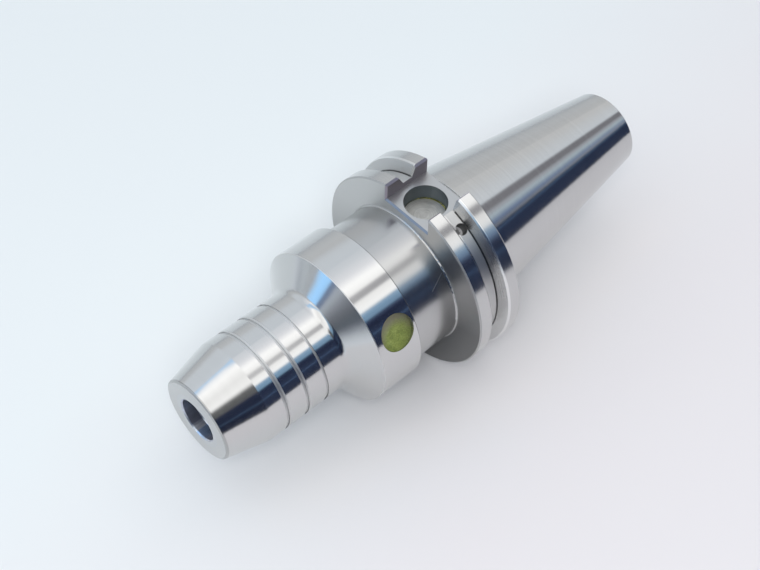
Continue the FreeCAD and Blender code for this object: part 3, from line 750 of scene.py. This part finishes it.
# %% The sheet
FLOOR_REACH = 3.5
CLOUDINESS, CLOUDY_SPOT = 0.03, 60 * MM
TINT_FROM, TINT_TO = -0.04, 0.07
floor_paint, tree, shader = new_material("smooth_pale_sheet")
objects = node(tree, "TexCoord", out="Object")
to_corner = (LOOKS_RIGHT + LOOKS_DOWN).normalized()
across = node(tree, "VectorMath", {0: objects, 1: to_corner}, out="Value", operation="DOT_PRODUCT")
cloudy = node(tree, "TexNoise", {"Vector": objects, "Scale": 1 / CLOUDY_SPOT, "Detail": 2.0})
across = node(tree, "Math", {0: cloudy, 1: CLOUDINESS, 2: across}, operation="MULTIPLY_ADD")
across = node(tree, "MapRange", {"Value": across, "From Min": TINT_FROM, "From Max": TINT_TO})
# Painted light: the cool tint of the window's light on the upper left side.
colours = node(tree, "Mix", {"Factor": across, "A": linear("#E9EEEF"), "B": linear("#E9E5E6")}, **OF_COLOURS)
wire(tree, shader.inputs, {"Base Color": colours, "Roughness": 0.7})
floor_mesh = bmesh.new()
bmesh.ops.create_grid(floor_mesh, x_segments=1, y_segments=1, size=FLOOR_REACH)
stage_object("floor", floor_mesh, floor_paint)
print("floor reach", FLOOR_REACH, "m")

# %% [markdown]
# The dark side of the room
#
# Polished steel shows its surroundings more than its own colour. Without something dark to mirror it looks
# like plaster, so in product photography a dark card stands beside it. Here it is a curved navy screen on
# the camera's side, with one paler seam round it. Towards both ends the cloth turns to pale stripes, for the
# sloping surfaces that mirror them. The camera and diffuse rays don't see it.

# %% Screen cloth
SEAM_HEIGHT, SEAM_HALF_WIDTHS = 0.26, (0.016, 0.008)
FOLDS_PER_METRE = 3.0
STRIPES_FROM, STRIPES_FULL, STRIPES_TO = -0.20, -0.08, 0.28
screen_cloth, tree, shader = new_material("navy_velvet")
objects = node(tree, "TexCoord", out="Object")
folds = node(tree, "TexNoise", {"Vector": objects, "Scale": FOLDS_PER_METRE, "Detail": 2.0})
colours = node(tree, "ValToRGB", {"Fac": folds}, stops=[(0.35, linear("#232A40")), (0.7, linear("#3C4762"))])

cloth_z = node(tree, "SeparateXYZ", {0: objects}, out="Z")
off_seam = node(tree, "Math", {0: cloth_z, 1: SEAM_HEIGHT}, operation="SUBTRACT")
off_seam = node(tree, "Math", {0: off_seam}, operation="ABSOLUTE")
seam = node(tree, "MapRange", {
    "Value": off_seam, "From Min": SEAM_HALF_WIDTHS[0], "From Max": SEAM_HALF_WIDTHS[1]})
colours = node(tree, "Mix", {"Factor": seam, "A": colours, "B": linear("#5E789A")}, **OF_COLOURS)

cloth_y = node(tree, "SeparateXYZ", {0: objects}, out="Y")
stripe_place = node(tree, "MapRange", {"Value": cloth_y, "From Min": STRIPES_FROM, "From Max": STRIPES_TO})
stripes = node(tree, "ValToRGB", {"Fac": stripe_place}, stops=[
    (0.25, linear("#747B82")), (0.40, linear("#8E8F97")), (0.56, linear("#AFB2B8")),
    (0.73, linear("#DDE1E8")), (0.80, linear("#D8DEE8")), (0.84, linear("#8494B4"))])
striped = node(tree, "MapRange", {"Value": cloth_y, "From Min": STRIPES_FROM, "From Max": STRIPES_FULL})
colours = node(tree, "Mix", {"Factor": striped, "A": colours, "B": stripes}, **OF_COLOURS)
wire(tree, shader.inputs, {"Base Color": colours, "Roughness": 0.9, "Specular IOR Level": 0.1})
print("screen cloth made")

# %% [markdown]
# The screen's shape
#
# A spin sweeps an upright edge round the part. The heights of its upper ends are then set, so that the
# screen's top follows a soft hump and the dark bands in the steel thin out towards their ends.

# %% Dark screen
SCREEN_DISTANCE = 0.75
SCREEN_ARC = (-200, 0)
SCREEN_SEGMENTS = 64
CLOTH_HEIGHT = 1.0  # before its top is cut to the hump
SCREEN_MIDDLE, SCREEN_SPREAD = -100, 75
SCREEN_LOW, SCREEN_RISE = 8, 24


def screen_top(azimuth):
    """Elevation in degrees of the screen's top edge: highest at SCREEN_MIDDLE, falling to both ends."""
    return SCREEN_LOW + SCREEN_RISE * math.exp(-((azimuth - SCREEN_MIDDLE) / SCREEN_SPREAD) ** 2)


screen_mesh = bmesh.new()
first_turn = math.radians(SCREEN_ARC[0])
foot = Vector((SCREEN_DISTANCE * math.cos(first_turn), SCREEN_DISTANCE * math.sin(first_turn), 0.0))
lower = screen_mesh.verts.new(foot)
upper = screen_mesh.verts.new(foot + Vector((0, 0, CLOTH_HEIGHT)))
edge = screen_mesh.edges.new((lower, upper))
bmesh.ops.spin(screen_mesh, geom=[edge, lower, upper], cent=(0, 0, 0), axis=(0, 0, 1), steps=SCREEN_SEGMENTS,
               angle=math.radians(SCREEN_ARC[1] - SCREEN_ARC[0]))
for vertex in screen_mesh.verts:
    if vertex.co.z > CLOTH_HEIGHT / 2:
        azimuth = math.degrees(math.atan2(vertex.co.y, vertex.co.x))
        azimuth = azimuth - 360 if azimuth > 90 else azimuth
        vertex.co.z = axis_z + SCREEN_DISTANCE * math.tan(math.radians(screen_top(azimuth)))
screen = stage_object("dark_screen", screen_mesh, screen_cloth)
screen.visible_camera = False
screen.visible_diffuse = False
print("screen tops:", [round(screen_top(a)) for a in (-180, -110, -60, -10)])

# %% [markdown]
# A grey card before the nose
#
# The steep cone behind the nose mirrors the ground far in front of the part, and looks best with something
# darker there than the sheet. A flat card lies on it, outside the picture. The camera and diffuse rays don't
# see it, and it casts no shadow. It is pale at its near edge, so that it begins without a line.

# %% Grey card
CARD_NEAR, CARD_FAR, CARD_HALF_WIDTH, CARD_LIFT = -0.16, -0.72, 0.40, 0.001
CARD_GREY_FROM = -0.45
card_paper, tree, shader = new_material("grey_card")
objects = node(tree, "TexCoord", out="Object")
outwards = node(tree, "SeparateXYZ", {0: objects}, out="X")
outwards = node(tree, "MapRange", {"Value": outwards, "From Min": CARD_NEAR, "From Max": CARD_GREY_FROM})
pale, grey = linear("#EEF2F6"), linear("#8A9098")
colours = node(tree, "Mix", {"Factor": outwards, "A": pale, "B": grey}, **OF_COLOURS)
wire(tree, shader.inputs, {"Base Color": colours, "Roughness": 0.8})
card_mesh = bmesh.new()
bmesh.ops.create_grid(card_mesh, x_segments=1, y_segments=1, size=1.0)
bmesh.ops.scale(card_mesh, vec=((CARD_NEAR - CARD_FAR) / 2, CARD_HALF_WIDTH, 1), verts=card_mesh.verts)
bmesh.ops.translate(card_mesh, vec=((CARD_NEAR + CARD_FAR) / 2, 0, CARD_LIFT), verts=card_mesh.verts)
grey_card = stage_object("grey_card", card_mesh, card_paper)
grey_card.visible_camera = False
grey_card.visible_diffuse = False
grey_card.visible_shadow = False
print("grey card from", CARD_NEAR, "to", CARD_FAR, "m")

# %% [markdown]
# The lit room
#
# The light is plain and soft: a pale room that shows a colour about as bright as it is written. Steel needs
# more, because its white bands are pictures of bright things. So a long window band is painted high up in
# the world, where the camera doesn't look, slanting across the tool axis. A direction divided by its height
# is a place on a flat ceiling one metre up, and there the band is straight.

# %% Ceiling places
LOWEST = 0.05  # keeps the division finite near the horizon
SLANT_FROM, SLANT_TO = -0.8, 0.1
LEAST_SLANT, MOST_SLANT = 0.15, 0.5
world = bpy.data.worlds.new("pale_room")
bpy.context.scene.world = world
world.use_nodes = True
tree = world.node_tree
direction = node(tree, "TexCoord", out="Generated")
ways = node(tree, "SeparateXYZ", {0: direction}).node.outputs
height = node(tree, "Math", {0: ways["Z"], 1: LOWEST}, operation="MAXIMUM")
ceiling_x = node(tree, "Math", {0: ways["X"], 1: height}, operation="DIVIDE")
ceiling_y = node(tree, "Math", {0: ways["Y"], 1: height}, operation="DIVIDE")
slant = node(tree, "MapRange", {"Value": ceiling_y, "From Min": SLANT_FROM, "From Max": SLANT_TO,
                                "To Min": LEAST_SLANT, "To Max": MOST_SLANT})
band_place = node(tree, "Math", {0: ceiling_x, 1: slant, 2: ceiling_y}, operation="MULTIPLY_ADD")
print("ceiling places made")

# %% [markdown]
# The window band
#
# Two colour ramps run across the room, one where the window band passes and one beyond its end, over the
# taper. Both begin on the dark side, pass blue-grey shades and end at a pale wall. Values over 1 are the
# window's glow.

# %% Ceiling ramps
NAVY = (0.022, 0.029, 0.072, 1)
BAND_SHADES = [
    (-1.28, NAVY), (-1.21, (0.22, 0.40, 0.60, 1)), (-1.09, (0.34, 0.54, 0.76, 1)),
    (-1.03, (0.20, 0.37, 0.56, 1)), (-0.96, (0.34, 0.54, 0.76, 1)), (-0.86, (0.28, 0.48, 0.70, 1)),
    (-0.74, (1.50, 1.50, 1.50, 1)), (-0.25, (1.25, 1.25, 1.25, 1)), (0.15, (1.60, 1.60, 1.60, 1)),
    (0.38, (1.10, 1.12, 1.18, 1)), (0.80, (0.82, 0.88, 0.95, 1)),
]
END_SHADES = [
    (-1.65, NAVY), (-1.20, (0.20, 0.28, 0.46, 1)), (-0.85, (0.57, 0.68, 0.76, 1)),
    (-0.62, (0.48, 0.50, 0.55, 1)), (-0.52, (0.27, 0.27, 0.30, 1)), (-0.28, (0.26, 0.26, 0.29, 1)),
    (-0.20, (0.85, 0.91, 0.98, 1)), (0.60, (0.80, 0.81, 0.82, 1)), (1.40, (0.68, 0.70, 0.72, 1)),
]
CEILING_REACH = 2.0
BAND_END = (0.70, 0.95)


def ceiling_ramp(place, shades):
    """The shades along place, which runs from -CEILING_REACH to CEILING_REACH."""
    share = node(tree, "MapRange", {"Value": place, "From Min": -CEILING_REACH, "From Max": CEILING_REACH})
    stops = [((at + CEILING_REACH) / (2 * CEILING_REACH), shade) for at, shade in shades]
    return node(tree, "ValToRGB", {"Fac": share}, stops=stops)


past_end = node(tree, "MapRange", {"Value": ceiling_x, "From Min": BAND_END[0], "From Max": BAND_END[1]})
ceiling = node(tree, "Mix", {"Factor": past_end, "A": ceiling_ramp(band_place, BAND_SHADES),
                             "B": ceiling_ramp(ceiling_y, END_SHADES)}, **OF_COLOURS)
print("shades across the ceiling:", len(BAND_SHADES), "and", len(END_SHADES))

# %% [markdown]
# What breaks the band
#
# A beam runs along part of the band, and it draws the grey line in the steel's highlight. The camera's stand
# is a soft dark spot, and a patch of blue lies beyond the band.

# %% Beam, stand and blue patch
BEAM_PLACE, BEAM_HALF_WIDTHS = -0.38, (0.13, 0.07)
BEAM_STARTS, BEAM_ENDS, BEAM_COVER = (0.10, 0.60), (0.95, 0.75), 0.95
BLUE_NEAR, BLUE_FAR, BLUE_END = (0.32, 0.38), (0.72, 0.64), (0.10, 0.02)
STAND_PLACE, STAND_RADII = (-0.25, -0.98, 0), (0.42, 0.22)
BEAM_SHADE, STAND_SHADE, BLUE_SHADE = (0.30, 0.30, 0.33, 1), (0.15, 0.145, 0.14, 1), (0.60, 0.88, 1.22, 1)

off_beam = node(tree, "Math", {0: ceiling_y, 1: BEAM_PLACE}, operation="SUBTRACT")
off_beam = node(tree, "Math", {0: off_beam}, operation="ABSOLUTE")
beam = node(tree, "MapRange", {
    "Value": off_beam, "From Min": BEAM_HALF_WIDTHS[0], "From Max": BEAM_HALF_WIDTHS[1]})
beam_start = node(tree, "MapRange", {
    "Value": ceiling_x, "From Min": BEAM_STARTS[0], "From Max": BEAM_STARTS[1], "To Max": BEAM_COVER})
beam_end = node(tree, "MapRange", {"Value": ceiling_x, "From Min": BEAM_ENDS[0], "From Max": BEAM_ENDS[1]})
beam = all_of(tree, beam, beam_start, beam_end)

ceiling_flat = node(tree, "CombineXYZ", {"X": ceiling_x, "Y": ceiling_y})
from_stand = node(tree, "VectorMath", {0: ceiling_flat, 1: STAND_PLACE}, out="Value", operation="DISTANCE")
stand = node(tree, "MapRange", {"Value": from_stand, "From Min": STAND_RADII[0], "From Max": STAND_RADII[1]})

blue = all_of(tree, *(
    node(tree, "MapRange", {"Value": at, "From Min": span[0], "From Max": span[1]})
    for at, span in [(ceiling_y, BLUE_NEAR), (ceiling_y, BLUE_FAR), (ceiling_x, BLUE_END)]))

for mask, shade in [(beam, BEAM_SHADE), (stand, STAND_SHADE), (blue, BLUE_SHADE)]:
    ceiling = node(tree, "Mix", {"Factor": mask, "A": ceiling, "B": shade}, **OF_COLOURS)
print("ceiling shades made")

# %% [markdown]
# Walls and the world's light
#
# Below the ceiling the walls are a pale grey that darkens towards the floor. Mirrors and the camera see the
# room as it is painted. Other rays get a little less light from it, because a lamp gives the rest.

# %% World
ROOM_LIGHT_SHARE = 0.86
CEILING_EDGE = (0.25, 0.42)
walls = node(tree, "ValToRGB", {"Fac": ways["Z"]}, stops=[
    (0.0, (0.56, 0.60, 0.65, 1)), (0.12, (0.64, 0.67, 0.70, 1)), (0.4, (0.74, 0.77, 0.80, 1))])
overhead = node(tree, "MapRange", {
    "Value": ways["Z"], "From Min": CEILING_EDGE[0], "From Max": CEILING_EDGE[1]})
room = node(tree, "Mix", {"Factor": overhead, "A": walls, "B": ceiling}, **OF_COLOURS)
rays = node(tree, "LightPath").node.outputs
mirrored = node(tree, "Math", {0: rays["Is Camera Ray"], 1: rays["Is Glossy Ray"]}, operation="ADD")
mirrored = node(tree, "Math", {0: mirrored, 1: rays["Is Transmission Ray"]}, operation="ADD")
soft_room = node(tree, "VectorMath", {0: room, "Scale": ROOM_LIGHT_SHARE}, operation="SCALE")
room = node(tree, "Mix", {"Factor": mirrored, "A": soft_room, "B": room}, **OF_COLOURS)
wire(tree, tree.nodes["Background"].inputs, {"Color": room})
bpy.context.scene.view_settings.view_transform = "Standard"
print("world ready")

# %% [markdown]
# A soft lamp
#
# A soft lamp behind the camera, turned as it is, brightens what the camera sees, and most of the shadow that
# it casts falls behind the part. It would put a bright spot on every polished surface, so it is hidden from
# reflections.

# %% Fill lamp
LAMP_DISTANCE, LAMP_SIZE, LAMP_POWER = 1.2, 0.5, 5.0
lamp_data = bpy.data.lights.new("fill_lamp", "AREA")
lamp_data.shape = "DISK"
lamp_data.size = LAMP_SIZE
lamp_data.energy = LAMP_POWER
lamp_data.color = (1.0, 0.985, 0.98)
fill_lamp = bpy.data.objects.new("fill_lamp", lamp_data)
bpy.context.scene.collection.objects.link(fill_lamp)
fill_lamp.matrix_world = looking_ahead(-LOOKS_AHEAD * LAMP_DISTANCE)
fill_lamp.visible_glossy = False
fill_lamp.visible_camera = False
print("fill lamp of", LAMP_POWER, "W at", LAMP_DISTANCE, "m")

# %% [markdown]
# A strip of sky
#
# At the far end of the room a window shows sky near the horizon, and the steep cone between nose and head
# turns it straight into the camera as a blue patch. A small glowing card stands for it.

# %% Sky card
SKY_DISTANCE, SKY_AZIMUTH = 1.3, 153.8
SKY_WIDTH, SKY_HEIGHT, SKY_FOOT = 0.284, 0.34, 0.02
SKY_STRENGTH = 1.69
sky_glow, tree, shader = new_material("window_sky")
objects = node(tree, "TexCoord", out="Object")
haze = node(tree, "SeparateXYZ", {0: objects}, out="Z")
haze = node(tree, "MapRange", {"Value": haze, "From Min": SKY_FOOT, "From Max": SKY_FOOT + SKY_HEIGHT})
sky = node(tree, "Mix", {"Factor": haze, "A": linear("#A4D4FF"), "B": linear("#94CCFF")}, **OF_COLOURS)
wire(tree, shader.inputs, {
    "Emission Color": sky, "Emission Strength": SKY_STRENGTH, "Base Color": linear("#000000")})

sky_mesh = bmesh.new()
bmesh.ops.create_grid(sky_mesh, x_segments=1, y_segments=1, size=0.5)
bmesh.ops.scale(sky_mesh, vec=(SKY_WIDTH, SKY_HEIGHT, 1), verts=sky_mesh.verts)
upright_turn = Matrix.Rotation(math.radians(90), 3, "X")
bmesh.ops.rotate(sky_mesh, cent=(0, 0, 0), matrix=upright_turn, verts=sky_mesh.verts)
bmesh.ops.translate(sky_mesh, vec=(0, SKY_DISTANCE, SKY_FOOT + SKY_HEIGHT / 2), verts=sky_mesh.verts)
to_azimuth = Matrix.Rotation(math.radians(SKY_AZIMUTH - 90), 3, "Z")
bmesh.ops.rotate(sky_mesh, cent=(0, 0, 0), matrix=to_azimuth, verts=sky_mesh.verts)
sky_card = stage_object("sky_card", sky_mesh, sky_glow)
sky_card.visible_camera = False
print("sky card at azimuth", SKY_AZIMUTH)
